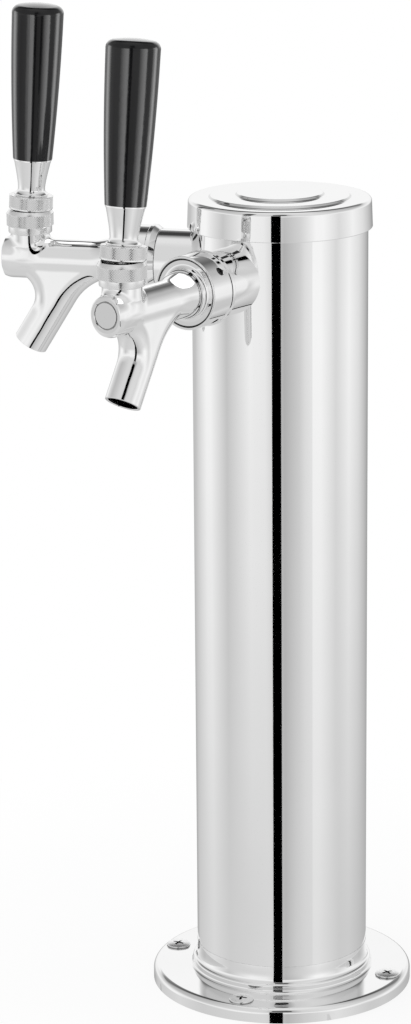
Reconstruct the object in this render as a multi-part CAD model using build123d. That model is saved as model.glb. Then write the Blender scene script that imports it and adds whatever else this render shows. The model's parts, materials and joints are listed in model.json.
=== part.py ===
from build123d import *
import math
import os

# Two-tap beer tower. Millimetres, +Z up, origin on the counter at the column's axis.
# The taps face -Y and are turned either side of it. Each tap is built facing -Y,
# with "r" as the distance forward from the column's axis, and is then turned into place.

# ---- driving dimensions: column, flange and cap ----
column_r = 38.1            # 3 inch tube
column_wall = 1.2
column_foot_z = 3.0        # the tube stands on the flange's inner lip
column_top_z = 353.5
seat_fit = 0.05            # radial clearance of parts pushed or screwed together

collar_r = column_r + 2.0
flange_w = 18.0            # outside the collar
flange_r = collar_r + flange_w
flange_t = 6.8
flange_edge_r = 2.8
line_hole_r = column_r - 5.1    # hole in the base that the beer lines come up through
collar_step_z = 10.6       # top of the collar's upright band
collar_top_z = 18.5        # where the collar has run out onto the tube
collar_foot_r = 1.4

screw_count = 4
screw_pcd = 2 * (flange_r - 7.5)
screw_turn = 3.3           # the flange's screws are turned this far from the taps' middle line
screw_shank_r = 2.4
screw_hole_r = 2.7
screw_head_r = 5.3
screw_head_h = 1.3
screw_dome_h = 0.45

gasket_t = 1.5
gasket_width = 5.5
gasket_r = screw_pcd / 2 - screw_hole_r - 0.9   # outer radius of the counter gasket

cap_r = column_r + 1.9     # at the skirt's lower edge
cap_top_r = cap_r - 0.5
cap_skirt_z = column_top_z - 8.5
cap_deck_z = column_top_z + 4.4
cap_wall = 1.4
cap_edge_r = 0.8
cap_fit = 0.2              # the skirt slides over the tube
cap_step_h = 0.95
cap_step_insets = (9.4, 20.9)
cap_step_radii = tuple(cap_top_r - inset for inset in cap_step_insets)
cap_step_edge_r = 0.5

foam_r = 24.0              # inside radius of the insulation
foam_foot_z = 8.0
foam_top_z = 286.0

# ---- driving dimensions: tap placing and motion ----
shank_z = 327.25
lever_r = 112.2            # lever pivot from the column's axis
pivot_rise = 14.0          # lever pivot above the shank's axis
closed_lean = {"left": 3.3, "right": 5.9}     # how far each closed handle leans back, degrees
open_angle = 38.0          # handle travel, degrees
shaft_travel = 9.0

# ---- driving dimensions: shank and its fixings ----
shank_r = 11.1
shank_bore_r = 3.5
shank_head_r = 13.9
shank_head_len = 8.0
shank_chamber_r = 9.2      # room for the shaft's seat in the shank's head
sleeve_r = 14.3
sleeve_end = 52.7
sleeve_gap = 0.3
saddle_washer_r = 15.0
saddle_washer_t = 4.4
lock_nut_af = 29.0
lock_nut_t = 5.0
lock_nut_space = 1.9       # from a lock nut's flat to the middle line, across the shank
hex_sides = 6
tube_bore_r = column_r - column_wall
lock_nut_front = tube_bore_r * math.cos(math.asin(saddle_washer_r / tube_bore_r)) - saddle_washer_t
lock_nut_back = lock_nut_front - lock_nut_t

# Each tap is turned just far enough from the middle line for the lock nuts to pass each other.
tap_turn = round(math.degrees(math.atan2(lock_nut_af / 2 + lock_nut_space, lock_nut_back)), 1)

elbow_r = 11.0             # the hose tail's upright leg, from the column's axis
elbow_tube_r = 4.2
elbow_bore_r = 2.6
elbow_bend_r = 4.4
elbow_nut_af = 16.0
elbow_nut_t = 5.6
elbow_flange_r = 6.2
elbow_flange_t = 1.5
elbow_washer_t = 0.9
tail_len = 27.0
elbow_clear = 0.1          # between the hose tail's bend and its nut
barb_count = 3
barb_pitch = 5.0
barb_rise = 0.75

# The shank's inner end, from the column's axis, leaves room for the nut beside the hose tail's bend.
shank_inner_r = elbow_r + elbow_bend_r + elbow_clear + elbow_nut_t + elbow_washer_t

# ---- driving dimensions: coupling nut ----
nut_r = 15.65
nut_rim_r = 16.1
nut_rim_w = 1.6
nut_chamfer = 2.3
nut_front = 69.4
nut_lip = 0.85             # width of the rim round the dished front
nut_dish = 2.6
spanner_hole_r = 1.85
spanner_hole_depth = 1.0
spanner_hole_count = 4
spanner_hole_turn = 48.0
coupling_washer_t = 0.8

# ---- driving dimensions: faucet body ----
body_flange_r = 12.3
body_flange_t = 2.2
bell_r = 10.2
bell_end = 69.6
barrel_r = 7.8
barrel_start = 84.0
nose_len = 11.4            # nose face forward of the lever's pivot
nose_edge = 0.5
chamber_r = 6.0
valve_lip_r = 7.4
valve_lip_h = 1.5
guide_bore_r = 5.0
guide_bore_len = 14.0
plug_r = 5.85
plug_t = 5.2
plug_groove = 0.35

neck_r = 8.35
neck_top = 10.4            # above the shank's axis
stub_r = 8.0
stub_top = 12.7
neck_bore_r = 6.4

spout_r = 7.65
spout_bore_r = 6.4
spout_bore_len = 37.0
spout_tilt = 31.5          # from upright, tip forward
spout_tip = (0.7, -38.7)   # forward of the pivot, above the shank's axis
throat_centre = (7.6, -17.0)    # of the hollow under the nose
web_r = 25.0               # hollow behind the spout
web_slab = 7.2             # half thickness of the web
bend_r = 7.5               # round edge of the throat's bend and of the web's back
bend_overrun = 3.0         # the bends run on inside the spout by this angle

# ---- driving dimensions: shaft ----
guide_r = 4.95
guide_back = 6.3           # guide's ends from the middle of its slot
guide_front = 4.8
slot_w = 5.0
slot_back = 2.75           # slot's ends from its middle
slot_front = 2.5
slot_slope_z = 1.6         # above this the slot's front end slopes forward for the open lever
shaft_r = 2.4
seat_r = 7.6
seat_t = 2.6
seat_bore_r = 2.45
valve_gap = 0.05
shaft_nut_af = 7.0
shaft_nut_t = 2.4
shaft_end = 1.0

# ---- driving dimensions: bonnet and ball seat ----
ball_r = 6.2
ball_fit = 0.1
lower_seat = (-3.3, -1.3)  # ball washer, from the pivot's height
upper_seat = (1.3, 3.0)    # friction washer, from the pivot's height
upper_washer_r = 7.9
bonnet_r = 10.35
bonnet_band_r = 9.55
bonnet_foot = 10.55        # above the shank's axis
bonnet_knurl = 14.1
bonnet_chamfer_z = 20.0
bonnet_top = 20.95
bonnet_chamfer = 0.85
bonnet_mouth_r = 8.6
bonnet_throat_r = 5.7

# ---- driving dimensions: lever and handle (heights up the lever from its pivot) ----
tail_r = 2.0
neck_stem_r = 2.4
stud_r = 4.7
stud_foot = 12.1
stud_top = 50.0
collar_ring_r = 9.6
collar_ring_foot = 7.6
collar_ring_top = 13.25
collar_dish_r = 12.05      # hollow underside, centred on the pivot
ferrule_foot_r = 7.65
ferrule_waist_r = 6.15
ferrule_top_r = 8.35
ferrule_waist = 3.6
ferrule_top = 29.4
knob_foot_r = 8.57
knob_mid_r = 10.35
knob_mid = 60.5
knob_r = 11.2
knob_shoulder = 92.4
knob_top = 96.9
knob_crown_r = 8.4
knob_crown_drop = 0.7
insert_r = 6.2
insert_foot = 31.0
insert_top = 52.0
insert_rib = 0.5


# ---- shared helpers ----
def turned(outline):
    """Revolves a closed outline of (radius, height) points and arcs about Z."""
    return revolve(make_face(Plane.XZ * outline), Axis.Z)


def lathe(*points):
    """A turned piece with straight generators through (radius, height) points."""
    return turned(Polyline(*points, close=True))


def ring(outer, inner, low, high):
    return lathe((inner, low), (outer, low), (outer, high), (inner, high))


def rod(radius, low, high):
    return lathe((0, low), (radius, low), (radius, high), (0, high))


def dome(radius, low, high):
    """Arc from (radius, low) to a crown at (0, high), square to the axis."""
    rise = high - low
    curve_r = (radius ** 2 + rise ** 2) / (2 * rise)
    half = math.asin(radius / curve_r) / 2
    middle = (curve_r * math.sin(half), high - curve_r + curve_r * math.cos(half))
    return ThreePointArc((radius, low), middle, (0, high))


def hex_nut(across_flats, low, high, bore):
    blank = extrude(RegularPolygon(across_flats / 2, hex_sides, major_radius=False), high - low)
    nut = Pos(0, 0, low) * blank
    slope = math.tan(math.radians(30))
    corner = across_flats / math.sqrt(3)
    edge = corner - across_flats / 2
    bevel = lathe(
        (0, low), (corner - edge, low), (corner, low + edge * slope),
        (corner, high - edge * slope), (corner - edge, high), (0, high),
    )
    return (nut & bevel) - rod(bore, low - 1, high + 1)


def along_shank(part):
    """Lays a piece made about Z along the shank: its height becomes the distance r."""
    return Pos(0, 0, shank_z) * Rot(90, 0, 0) * part


def on_pivot(part, lean=0.0):
    """Stands a piece made about Z on the lever's pivot, leaning back towards the column."""
    return Pos(0, -lever_r, shank_z + pivot_rise) * Rot(-lean, 0, 0) * part


def on_shank_height(part):
    """Stands a piece made about Z over the pivot, with its height above the shank's axis."""
    return Pos(0, -lever_r, shank_z) * part


def single(part):
    """The one solid of a piece."""
    return part.solids()[0]


# ---- column, flange and cap ----
def flange_profile():
    """Outline of the base flange with its collar, in (radius, height)."""
    shoulder = (collar_r - column_r) / 2
    inner = column_r + seat_fit
    edge = flange_edge_r
    foot = collar_foot_r
    top = flange_t
    bend = math.radians(45)
    rim = ThreePointArc(
        (flange_r, top - edge),
        (flange_r - edge + edge * math.cos(bend), top - edge + edge * math.sin(bend)),
        (flange_r - edge, top),
    )
    fillet_arc = ThreePointArc(
        (collar_r + foot, top),
        (collar_r + foot - foot * math.cos(bend), top + foot - foot * math.sin(bend)),
        (collar_r, top + foot),
    )
    shoulder_arc = ThreePointArc(
        (collar_r, collar_step_z - shoulder),
        (collar_r - shoulder + shoulder * math.cos(bend),
         collar_step_z - shoulder + shoulder * math.sin(bend)),
        (collar_r - shoulder, collar_step_z),
    )
    lip = (collar_r - shoulder, collar_step_z)
    run_out = Spline([lip, (inner + 0.15, collar_top_z)], tangents=[(-1, 1.2), (-0.02, 1)])
    return [
        Line((line_hole_r, 0), (flange_r, 0)),
        Line((flange_r, 0), (flange_r, top - edge)),
        rim,
        Line((flange_r - edge, top), (collar_r + foot, top)),
        fillet_arc,
        Line((collar_r, top + foot), (collar_r, collar_step_z - shoulder)),
        shoulder_arc,
        run_out,
        Line((inner + 0.15, collar_top_z), (inner, collar_top_z)),
        Line((inner, collar_top_z), (inner, column_foot_z)),
        Line((inner, column_foot_z), (line_hole_r, column_foot_z)),
        Line((line_hole_r, column_foot_z), (line_hole_r, 0)),
    ]


def screw_places():
    return Rot(0, 0, screw_turn) * PolarLocations(screw_pcd / 2, screw_count, start_angle=45)


def make_base_flange():
    flange = revolve(make_face(Plane.XZ * Wire(flange_profile())), Axis.Z)
    flange -= ring(gasket_r, gasket_r - gasket_width, 0, gasket_t)
    sink = screw_head_r - screw_shank_r
    hole = lathe(
        (0, -1), (screw_hole_r, -1), (screw_hole_r, flange_t - sink),
        (screw_head_r + 0.1, flange_t - (screw_hole_r - screw_shank_r)),
        (screw_head_r + 0.1, flange_t + 1), (0, flange_t + 1),
    )
    for place in screw_places():
        flange -= place * hole
    return single(flange)


def make_flange_screws():
    """Oval-head screws, cut off level with the counter."""
    sink = screw_head_r - screw_shank_r
    side = flange_t + screw_head_h - screw_dome_h
    crown = flange_t + screw_head_h
    outline = [
        Line((0, 0), (screw_shank_r, 0)),
        Line((screw_shank_r, 0), (screw_shank_r, flange_t - sink)),
        Line((screw_shank_r, flange_t - sink), (screw_head_r, flange_t)),
        Line((screw_head_r, flange_t), (screw_head_r, side)),
        dome(screw_head_r, side, crown),
        Line((0, crown), (0, 0)),
    ]
    screw = revolve(make_face(Plane.XZ * Wire(outline)), Axis.Z)
    return Compound(children=[place * screw for place in screw_places()])


def make_column_tube():
    tube = ring(column_r, tube_bore_r, column_foot_z, column_top_z)
    for side in (-1, 1):
        hole = along_shank(rod(shank_r + seat_fit, column_r / 2, column_r + 5))
        tube -= Rot(0, 0, side * tap_turn) * hole
    return single(tube)


def make_top_cap():
    """Push-on cap: a straight skirt, a flat deck and two low round steps."""
    inner = column_r + cap_fit
    roof = cap_deck_z - cap_wall
    points = [(inner, cap_skirt_z), (cap_r, cap_skirt_z), (cap_top_r, cap_deck_z)]
    deck = cap_deck_z
    for radius in cap_step_radii:
        points += [(radius, deck), (radius, deck + cap_step_h)]
        deck += cap_step_h
    points += [(0, deck), (0, roof), (inner, roof)]
    cap = lathe(*points)
    for number, radius in enumerate(cap_step_radii, start=1):
        height = cap_deck_z + number * cap_step_h
        rims = cap.edges().filter_by(GeomType.CIRCLE)
        rims = [e for e in rims if abs(e.radius - radius) < 0.01 and abs(e.center().Z - height) < 0.01]
        cap = fillet(rims, cap_step_edge_r)
    rims = cap.edges().filter_by(GeomType.CIRCLE)
    corner = [e for e in rims if abs(e.radius - cap_top_r) < 0.01 and abs(e.center().Z - cap_deck_z) < 0.01]
    return single(fillet(corner, cap_edge_r))


def make_insulation():
    return single(ring(tube_bore_r - seat_fit, foam_r, foam_foot_z, foam_top_z))


# ---- shank and its fixings, facing -Y ----
shank_shoulder = sleeve_end + sleeve_gap
shank_front = shank_shoulder + shank_head_len
body_back = shank_front + coupling_washer_t


def column_skin(radius):
    """A solid bar of the column's round, used to cut saddles."""
    return rod(radius, 0, column_top_z)


def make_shank_sleeve():
    sleeve = along_shank(ring(sleeve_r, shank_r + seat_fit, column_r / 2, sleeve_end))
    return single(sleeve - column_skin(column_r))


def make_shank():
    chamber_back = shank_front - shaft_travel - seat_t - shaft_nut_t - shaft_end - valve_lip_h
    shank = along_shank(lathe(
        (shank_bore_r, shank_inner_r), (shank_r, shank_inner_r), (shank_r, shank_shoulder),
        (shank_head_r, shank_shoulder), (shank_head_r, shank_front),
        (shank_chamber_r, shank_front), (shank_chamber_r, chamber_back),
        (shank_bore_r, chamber_back - (shank_chamber_r - shank_bore_r) / 2),
    ))
    return single(shank)


def make_saddle_washer():
    washer = along_shank(ring(saddle_washer_r, shank_r + seat_fit, lock_nut_front, column_r))
    return single(washer & column_skin(tube_bore_r))


def make_lock_nut():
    nut = hex_nut(lock_nut_af, lock_nut_back, lock_nut_front, shank_r + seat_fit)
    return single(along_shank(Rot(0, 0, 180 / hex_sides) * nut))


def make_elbow_washer():
    back = shank_inner_r - elbow_washer_t
    return single(along_shank(ring(elbow_flange_r, shank_bore_r, back, shank_inner_r)))


def make_elbow_nut():
    """Cap nut that holds the hose tail to the shank's inner end."""
    front = shank_inner_r - elbow_washer_t
    back = front - elbow_nut_t
    nut = hex_nut(elbow_nut_af, back, front, elbow_tube_r + seat_fit * 4)
    pocket = front - elbow_flange_t
    return single(along_shank(nut - rod(elbow_flange_r + seat_fit, pocket, front + 1)))


def tube_bend(path_r, section_r, sweep):
    """Part of a ring about Z, from +X towards +Y."""
    return revolve(Plane.XZ * Pos(path_r, 0) * Circle(section_r), Axis.Z, sweep)


def hose_tail_shape(radius):
    """Level run, quarter bend and upright leg of one radius, in X and Z."""
    start = shank_inner_r - elbow_washer_t
    level = Rot(0, 90, 0) * rod(radius, elbow_r + elbow_bend_r, start)
    leg = Pos(elbow_r, 0, 0) * rod(radius, -tail_len, -elbow_bend_r)
    corner = Pos(elbow_r + elbow_bend_r, 0, -elbow_bend_r) * Rot(90, 0, 0) * Rot(0, 0, 90)
    return level + leg + corner * tube_bend(elbow_bend_r, radius, 90)


def make_elbow():
    """Hose tail: flanged end, bend and a barbed leg that points down the column."""
    start = shank_inner_r - elbow_washer_t
    tail = hose_tail_shape(elbow_tube_r)
    for number in range(barb_count):
        low = -tail_len + number * barb_pitch
        barb = lathe(
            (0, low), (elbow_tube_r - 0.2, low), (elbow_tube_r + barb_rise, low + barb_pitch * 0.8),
            (elbow_tube_r - 0.2, low + barb_pitch * 0.8), (0, low + barb_pitch * 0.8),
        )
        tail += Pos(elbow_r, 0, 0) * barb
    tail += Rot(0, 90, 0) * rod(elbow_flange_r, start - elbow_flange_t, start)
    tail -= hose_tail_shape(elbow_bore_r)
    return single(Pos(0, 0, shank_z) * Rot(0, 0, -90) * tail)


def make_coupling_nut():
    """Round nut with a bevelled back rim, spanner holes and a dished front."""
    back = shank_shoulder
    rim = back + nut_chamfer
    web = nut_front - nut_dish
    mouth = bell_r + seat_fit * 4
    lip = nut_r - nut_lip
    inner = shank_head_r + seat_fit
    pocket = body_back + body_flange_t
    dish = ThreePointArc(
        (lip - 0.5, nut_front - 0.9),
        ((lip + mouth) / 2, web + nut_dish * 0.18),
        (mouth, web),
    )
    outline = [
        Line((inner, back), (sleeve_r + 0.2, back)),
        Line((sleeve_r + 0.2, back), (nut_rim_r, rim)),
        Line((nut_rim_r, rim), (nut_rim_r, rim + nut_rim_w)),
        Line((nut_rim_r, rim + nut_rim_w), (nut_r, rim + nut_rim_w + 0.3)),
        Line((nut_r, rim + nut_rim_w + 0.3), (nut_r, nut_front - 0.3)),
        Line((nut_r, nut_front - 0.3), (nut_r - 0.3, nut_front)),
        Line((nut_r - 0.3, nut_front), (lip, nut_front)),
        Line((lip, nut_front), (lip - 0.5, nut_front - 0.9)),
        dish,
        Line((mouth, web), (mouth, pocket)),
        Line((mouth, pocket), (inner, pocket)),
        Line((inner, pocket), (inner, back)),
    ]
    nut = revolve(make_face(Plane.XZ * Wire(outline)), Axis.Z)
    middle = (back + nut_front) / 2
    for number in range(spanner_hole_count):
        turn = spanner_hole_turn + number * 360 / spanner_hole_count
        hole = Pos(0, 0, middle) * Rot(0, 90, 0) * rod(spanner_hole_r, nut_r - spanner_hole_depth, nut_r + 2)
        nut -= Rot(0, 0, turn) * hole
    return single(along_shank(nut))


def make_coupling_washer():
    return single(along_shank(ring(body_flange_r, shank_chamber_r, shank_front, body_back)))


# ---- faucet body, facing -Y ----
side_plane = Plane(origin=(0, -lever_r, shank_z), x_dir=(0, -1, 0), z_dir=(-1, 0, 0))
side = side_plane.location   # X forward of the pivot, Y above the shank's axis


def polar_point(centre, radius, angle):
    turn = math.radians(angle)
    return (centre[0] + radius * math.cos(turn), centre[1] + radius * math.sin(turn))


spout_dir = (math.sin(math.radians(spout_tilt)), -math.cos(math.radians(spout_tilt)))
throat_end_angle = 180 + spout_tilt
throat_path_r = (
    (throat_centre[1] - spout_tip[1]) * spout_dir[0] - (throat_centre[0] - spout_tip[0]) * spout_dir[1]
)
web_path_r = web_r + bend_r
web_top_angle = 84


def web_path():
    """Arc that the web's back edge follows: its lower end on the spout's axis, and its centre."""
    line_start = polar_point(throat_centre, throat_path_r, throat_end_angle)
    rise = -line_start[1] - web_path_r * (1 - math.sin(math.radians(spout_tilt)))
    step = rise / math.cos(math.radians(spout_tilt))
    low = (line_start[0] - step * spout_dir[0], line_start[1] - step * spout_dir[1])
    centre = (low[0] - web_path_r * math.cos(math.radians(spout_tilt)), -web_path_r)
    return low, centre


def make_body_core():
    """Turned part of the body: rear flange, bell, barrel and nose."""
    nose = lever_r + nose_len
    bell = Spline([(bell_r, bell_end), (barrel_r, barrel_start)], tangents=[(0, 1), (0, 1)])
    outline = [
        Line((0, body_back), (body_flange_r, body_back)),
        Line((body_flange_r, body_back), (body_flange_r, body_back + body_flange_t)),
        Line((body_flange_r, body_back + body_flange_t), (bell_r, body_back + body_flange_t)),
        Line((bell_r, body_back + body_flange_t), (bell_r, bell_end)),
        bell,
        Line((barrel_r, barrel_start), (barrel_r, nose - nose_edge)),
        Line((barrel_r, nose - nose_edge), (barrel_r - nose_edge, nose)),
        Line((barrel_r - nose_edge, nose), (0, nose)),
        Line((0, nose), (0, body_back)),
    ]
    core = revolve(make_face(Plane.XZ * Wire(outline)), Axis.Z)
    return along_shank(core + rod(valve_lip_r, body_back - valve_lip_h, body_back))


def along_spout(radius, low, high):
    """Round bar on the spout's axis, between two distances up from the tip."""
    direction = Rot(0, 0, 90 + spout_tilt) * Rot(0, 90, 0)
    return side * Pos(*spout_tip) * direction * rod(radius, low, high)


def side_bend(centre, path_r, start_angle, end_angle):
    """Bent bar in the body's middle plane."""
    bent = tube_bend(path_r, bend_r, end_angle - start_angle)
    return side * Pos(*centre) * Rot(0, 0, start_angle) * bent


def make_spout():
    """Straight spout, run up to the barrel's axis, and the bend under the nose."""
    length = -spout_tip[1] / math.cos(math.radians(spout_tilt))
    throat = side_bend(throat_centre, throat_path_r, 90, throat_end_angle + bend_overrun)
    return along_spout(spout_r, 0, length) + throat


def make_web():
    """Web behind the spout: a round back edge and a flat middle."""
    low, centre = web_path()
    top = polar_point(centre, web_path_r, web_top_angle)
    middle = polar_point(centre, web_path_r, (web_top_angle + spout_tilt) / 2)
    start = polar_point(throat_centre, throat_path_r, 90)
    throat_middle = polar_point(throat_centre, throat_path_r, (90 + throat_end_angle) / 2)
    line_start = polar_point(throat_centre, throat_path_r, throat_end_angle)
    outline = Wire([
        Line(start, (start[0], 1)),
        Line((start[0], 1), (top[0], 1)),
        Line((top[0], 1), top),
        ThreePointArc(top, middle, low),
        Line(low, line_start),
        ThreePointArc(line_start, throat_middle, start),
    ])
    slab = side * extrude(make_face(outline), web_slab, both=True)
    return slab + side_bend(centre, web_path_r, spout_tilt - bend_overrun, web_top_angle)


def make_neck():
    foot = 2 * (barrel_r - neck_r)
    flare = lathe((0, foot), (barrel_r - 1.5, foot), (neck_r, neck_top / 2), (neck_r, neck_top), (0, neck_top))
    return on_shank_height(flare + rod(stub_r, neck_top, stub_top))


def lever_sweep():
    """Room under the ball for the lever's tail, over the whole of its travel."""
    lean = open_angle - min(closed_lean.values())
    turn = math.radians(lean)
    reach = tail_r + 0.4
    tip = pivot_rise + 0.5

    def beside(length):
        back = length * math.sin(turn) + reach * math.cos(turn)
        return (-back, pivot_rise - length * math.cos(turn) + reach * math.sin(turn))

    outline = Polyline((0, pivot_rise - 4), beside(5.5), beside(tip), (0, 0), close=True)
    return side * extrude(make_face(outline), tail_r + 0.5, both=True)


def make_faucet_body():
    body = make_body_core() + make_neck() + make_spout() + make_web()
    nose = lever_r + nose_len
    guide_start = lever_r - guide_bore_len
    front = nose - plug_t
    body -= along_shank(rod(chamber_r, body_back - valve_lip_h - 1, guide_start))
    body -= along_shank(rod(guide_bore_r, guide_start - 1, front + 1))
    body -= along_shank(rod(plug_r, front, nose + 1))
    body -= on_shank_height(rod(neck_bore_r, 0, stub_top + 1))
    body -= on_shank_height(rod(stub_r - 0.7, pivot_rise + lower_seat[0], stub_top + 1))
    body -= lever_sweep()
    body -= along_spout(spout_bore_r, -1, spout_bore_len)
    return single(body)


def make_nose_plug():
    nose = lever_r + nose_len
    plug = lathe(
        (0, nose - plug_t), (plug_r - seat_fit, nose - plug_t), (plug_r - seat_fit, nose - 0.6),
        (plug_r - plug_groove, nose - 0.6), (plug_r - plug_groove, nose - 0.1),
        (plug_r - plug_groove - 0.1, nose), (0, nose),
    )
    return single(along_shank(plug))


# ---- shaft, facing -Y ----
def slot_centre():
    lean = sum(closed_lean.values()) / len(closed_lean)
    return lever_r + pivot_rise * math.sin(math.radians(lean))


def make_shaft():
    """Slotted guide at the front and a thin stem back to the valve seat."""
    middle = slot_centre()
    seat_front = body_back - valve_lip_h - valve_gap
    back = seat_front - seat_t - shaft_nut_t - shaft_end
    shaft = along_shank(lathe(
        (0, back), (shaft_r, back), (shaft_r, seat_front), (shaft_r + 1.4, seat_front),
        (shaft_r + 1.4, seat_front + 1.2), (shaft_r, seat_front + 2.4),
        (shaft_r, middle - guide_back - 3), (guide_r, middle - guide_back),
        (guide_r, middle + guide_front), (0, middle + guide_front),
    ))
    slope = math.tan(math.radians(open_angle - min(closed_lean.values())))
    over = guide_r + 1
    slot_end = slot_front + slope * (over - slot_slope_z)
    outline = Polyline((-slot_back, -over), (slot_front, -over), (slot_front, slot_slope_z),
                       (slot_end, over), (-slot_back, over), close=True)
    slot = side * Pos(middle - lever_r, 0) * extrude(make_face(outline), slot_w / 2, both=True)
    return single(shaft - slot)


def make_shaft_seat():
    front = body_back - valve_lip_h - valve_gap
    return single(along_shank(ring(seat_r, seat_bore_r, front - seat_t, front)))


def make_shaft_nut():
    front = body_back - valve_lip_h - valve_gap - seat_t
    return single(along_shank(hex_nut(shaft_nut_af, front - shaft_nut_t, front, seat_bore_r)))


# ---- ball seat, bonnet and lever ----
def ball_space(radius):
    return Sphere(radius)


def make_ball_washer():
    low, high = lower_seat
    washer = ring(stub_r - 0.75, ball_r - 1.2, low, high) - ball_space(ball_r + ball_fit)
    return single(on_pivot(washer))


def make_friction_washer():
    low, high = upper_seat
    washer = ring(upper_washer_r, ball_r - 1.2, low, high) - ball_space(ball_r + ball_fit)
    return single(on_pivot(washer))


def make_bonnet():
    """Knurled nut that clamps the ball's washers: plain band, knurled band and open mouth."""
    shoulder = pivot_rise + upper_seat[1]
    bonnet = lathe(
        (stub_r + seat_fit, bonnet_foot), (bonnet_band_r - 0.8, bonnet_foot),
        (bonnet_band_r, bonnet_foot + 0.8), (bonnet_band_r, bonnet_knurl - 0.4),
        (bonnet_r, bonnet_knurl), (bonnet_r, bonnet_chamfer_z),
        (bonnet_r - bonnet_chamfer, bonnet_top), (bonnet_mouth_r, bonnet_top),
        (bonnet_throat_r, shoulder), (stub_r + seat_fit, shoulder),
    )
    return single(on_shank_height(bonnet))


def make_lever(lean):
    """Ball with a tail below for the shaft and a threaded stud above for the handle."""
    tail = rod(tail_r, -pivot_rise, 0) + Pos(0, 0, -pivot_rise) * Sphere(tail_r)
    stem = lathe(
        (0, 0), (neck_stem_r, 0), (neck_stem_r, stud_foot), (stud_r, stud_foot),
        (stud_r, stud_top - 0.8), (stud_r - 0.8, stud_top), (0, stud_top),
    )
    return single(on_pivot(Sphere(ball_r) + tail + stem, lean))


def make_lever_collar(lean):
    """Knurled ring whose hollow underside rides clear over the bonnet."""
    blank = lathe(
        (stud_r + seat_fit, collar_ring_foot), (collar_ring_r, collar_ring_foot),
        (collar_ring_r, collar_ring_top - 0.35), (collar_ring_r - 0.35, collar_ring_top),
        (stud_r + seat_fit, collar_ring_top),
    )
    return single(on_pivot(blank - Sphere(collar_dish_r), lean))


def make_ferrule(lean):
    low = collar_ring_top
    waist = low + ferrule_waist
    flare = Spline(
        [(ferrule_foot_r, low + 0.5), (ferrule_waist_r, waist), (ferrule_top_r, ferrule_top - 0.6)],
        tangents=[(-1, 0.5), (0.1, 1)], tangent_scalars=[0.6, 1.0],
    )
    bore = stud_r + seat_fit
    outline = [
        Line((bore, low), (ferrule_foot_r, low)),
        Line((ferrule_foot_r, low), (ferrule_foot_r, low + 0.5)),
        flare,
        Line((ferrule_top_r, ferrule_top - 0.6), (ferrule_top_r, ferrule_top)),
        Line((ferrule_top_r, ferrule_top), (bore, ferrule_top)),
        Line((bore, ferrule_top), (bore, low)),
    ]
    return single(on_pivot(revolve(make_face(Plane.XZ * Wire(outline)), Axis.Z), lean))


def make_knob(lean):
    """Moulded handle: sides that swell towards a rounded, slightly domed top."""
    crown = knob_top - knob_crown_drop
    shoulder_mid = ((knob_r + knob_crown_r) / 2 + 0.62, (knob_shoulder + crown) / 2 + 0.75)
    pocket = insert_r + seat_fit
    outline = [
        Line((pocket, ferrule_top), (knob_foot_r, ferrule_top)),
        ThreePointArc((knob_foot_r, ferrule_top), (knob_mid_r, knob_mid), (knob_r, knob_shoulder)),
        ThreePointArc((knob_r, knob_shoulder), shoulder_mid, (knob_crown_r, crown)),
        dome(knob_crown_r, crown, knob_top),
        Line((0, knob_top), (0, insert_top)),
        Line((0, insert_top), (pocket, insert_top)),
        Line((pocket, insert_top), (pocket, ferrule_top)),
    ]
    return single(on_pivot(revolve(make_face(Plane.XZ * Wire(outline)), Axis.Z), lean))


def make_knob_insert(lean):
    """Threaded sleeve moulded into the handle."""
    bore = stud_r + seat_fit
    third = (insert_top - insert_foot) / 3
    insert = lathe(
        (bore, insert_foot), (insert_r, insert_foot), (insert_r, insert_foot + third),
        (insert_r - insert_rib, insert_foot + third), (insert_r - insert_rib, insert_top - third),
        (insert_r, insert_top - third), (insert_r, insert_top), (bore, insert_top),
    )
    return single(on_pivot(insert, lean))


# ---- assembly ----
def tower_pieces():
    return {
        "base_flange": make_base_flange(),
        "base_gasket": single(ring(gasket_r - seat_fit, gasket_r - gasket_width + seat_fit, 0, gasket_t)),
        "flange_screws": make_flange_screws(),
        "column_tube": make_column_tube(),
        "insulation_sleeve": make_insulation(),
        "top_cap": make_top_cap(),
    }


def fixed_tap_pieces():
    """Pieces that are the same on both taps, facing -Y."""
    return {
        "shank_sleeve": make_shank_sleeve(),
        "shank": make_shank(),
        "saddle_washer": make_saddle_washer(),
        "shank_nut": make_lock_nut(),
        "elbow_washer": make_elbow_washer(),
        "elbow_nut": make_elbow_nut(),
        "hose_tail": make_elbow(),
        "coupling_nut": make_coupling_nut(),
        "coupling_washer": make_coupling_washer(),
        "faucet_body": make_faucet_body(),
        "nose_plug": make_nose_plug(),
        "shaft": make_shaft(),
        "shaft_seat": make_shaft_seat(),
        "shaft_nut": make_shaft_nut(),
        "ball_washer": make_ball_washer(),
        "friction_washer": make_friction_washer(),
        "bonnet": make_bonnet(),
    }


def handle_pieces(lean):
    """Pieces that tip with the lever."""
    return {
        "lever": make_lever(lean),
        "lever_collar": make_lever_collar(lean),
        "ferrule": make_ferrule(lean),
        "knob": make_knob(lean),
        "knob_insert": make_knob_insert(lean),
    }


def main():
    os.makedirs("parts", exist_ok=True)
    pieces = tower_pieces()
    shared = fixed_tap_pieces()
    for side, turn in (("left", -tap_turn), ("right", tap_turn)):
        for name, piece in {**shared, **handle_pieces(closed_lean[side])}.items():
            pieces[side + "_" + name] = Rot(0, 0, turn) * piece
    for name, piece in pieces.items():
        export_step(piece, os.path.join("parts", name + ".step"))


main()
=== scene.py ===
import json
from math import atan2, ceil, cos, degrees, hypot, pi, radians, sin, sqrt, tan

import bmesh
import bpy
import numpy as np
from mathutils import Matrix, Vector


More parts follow.
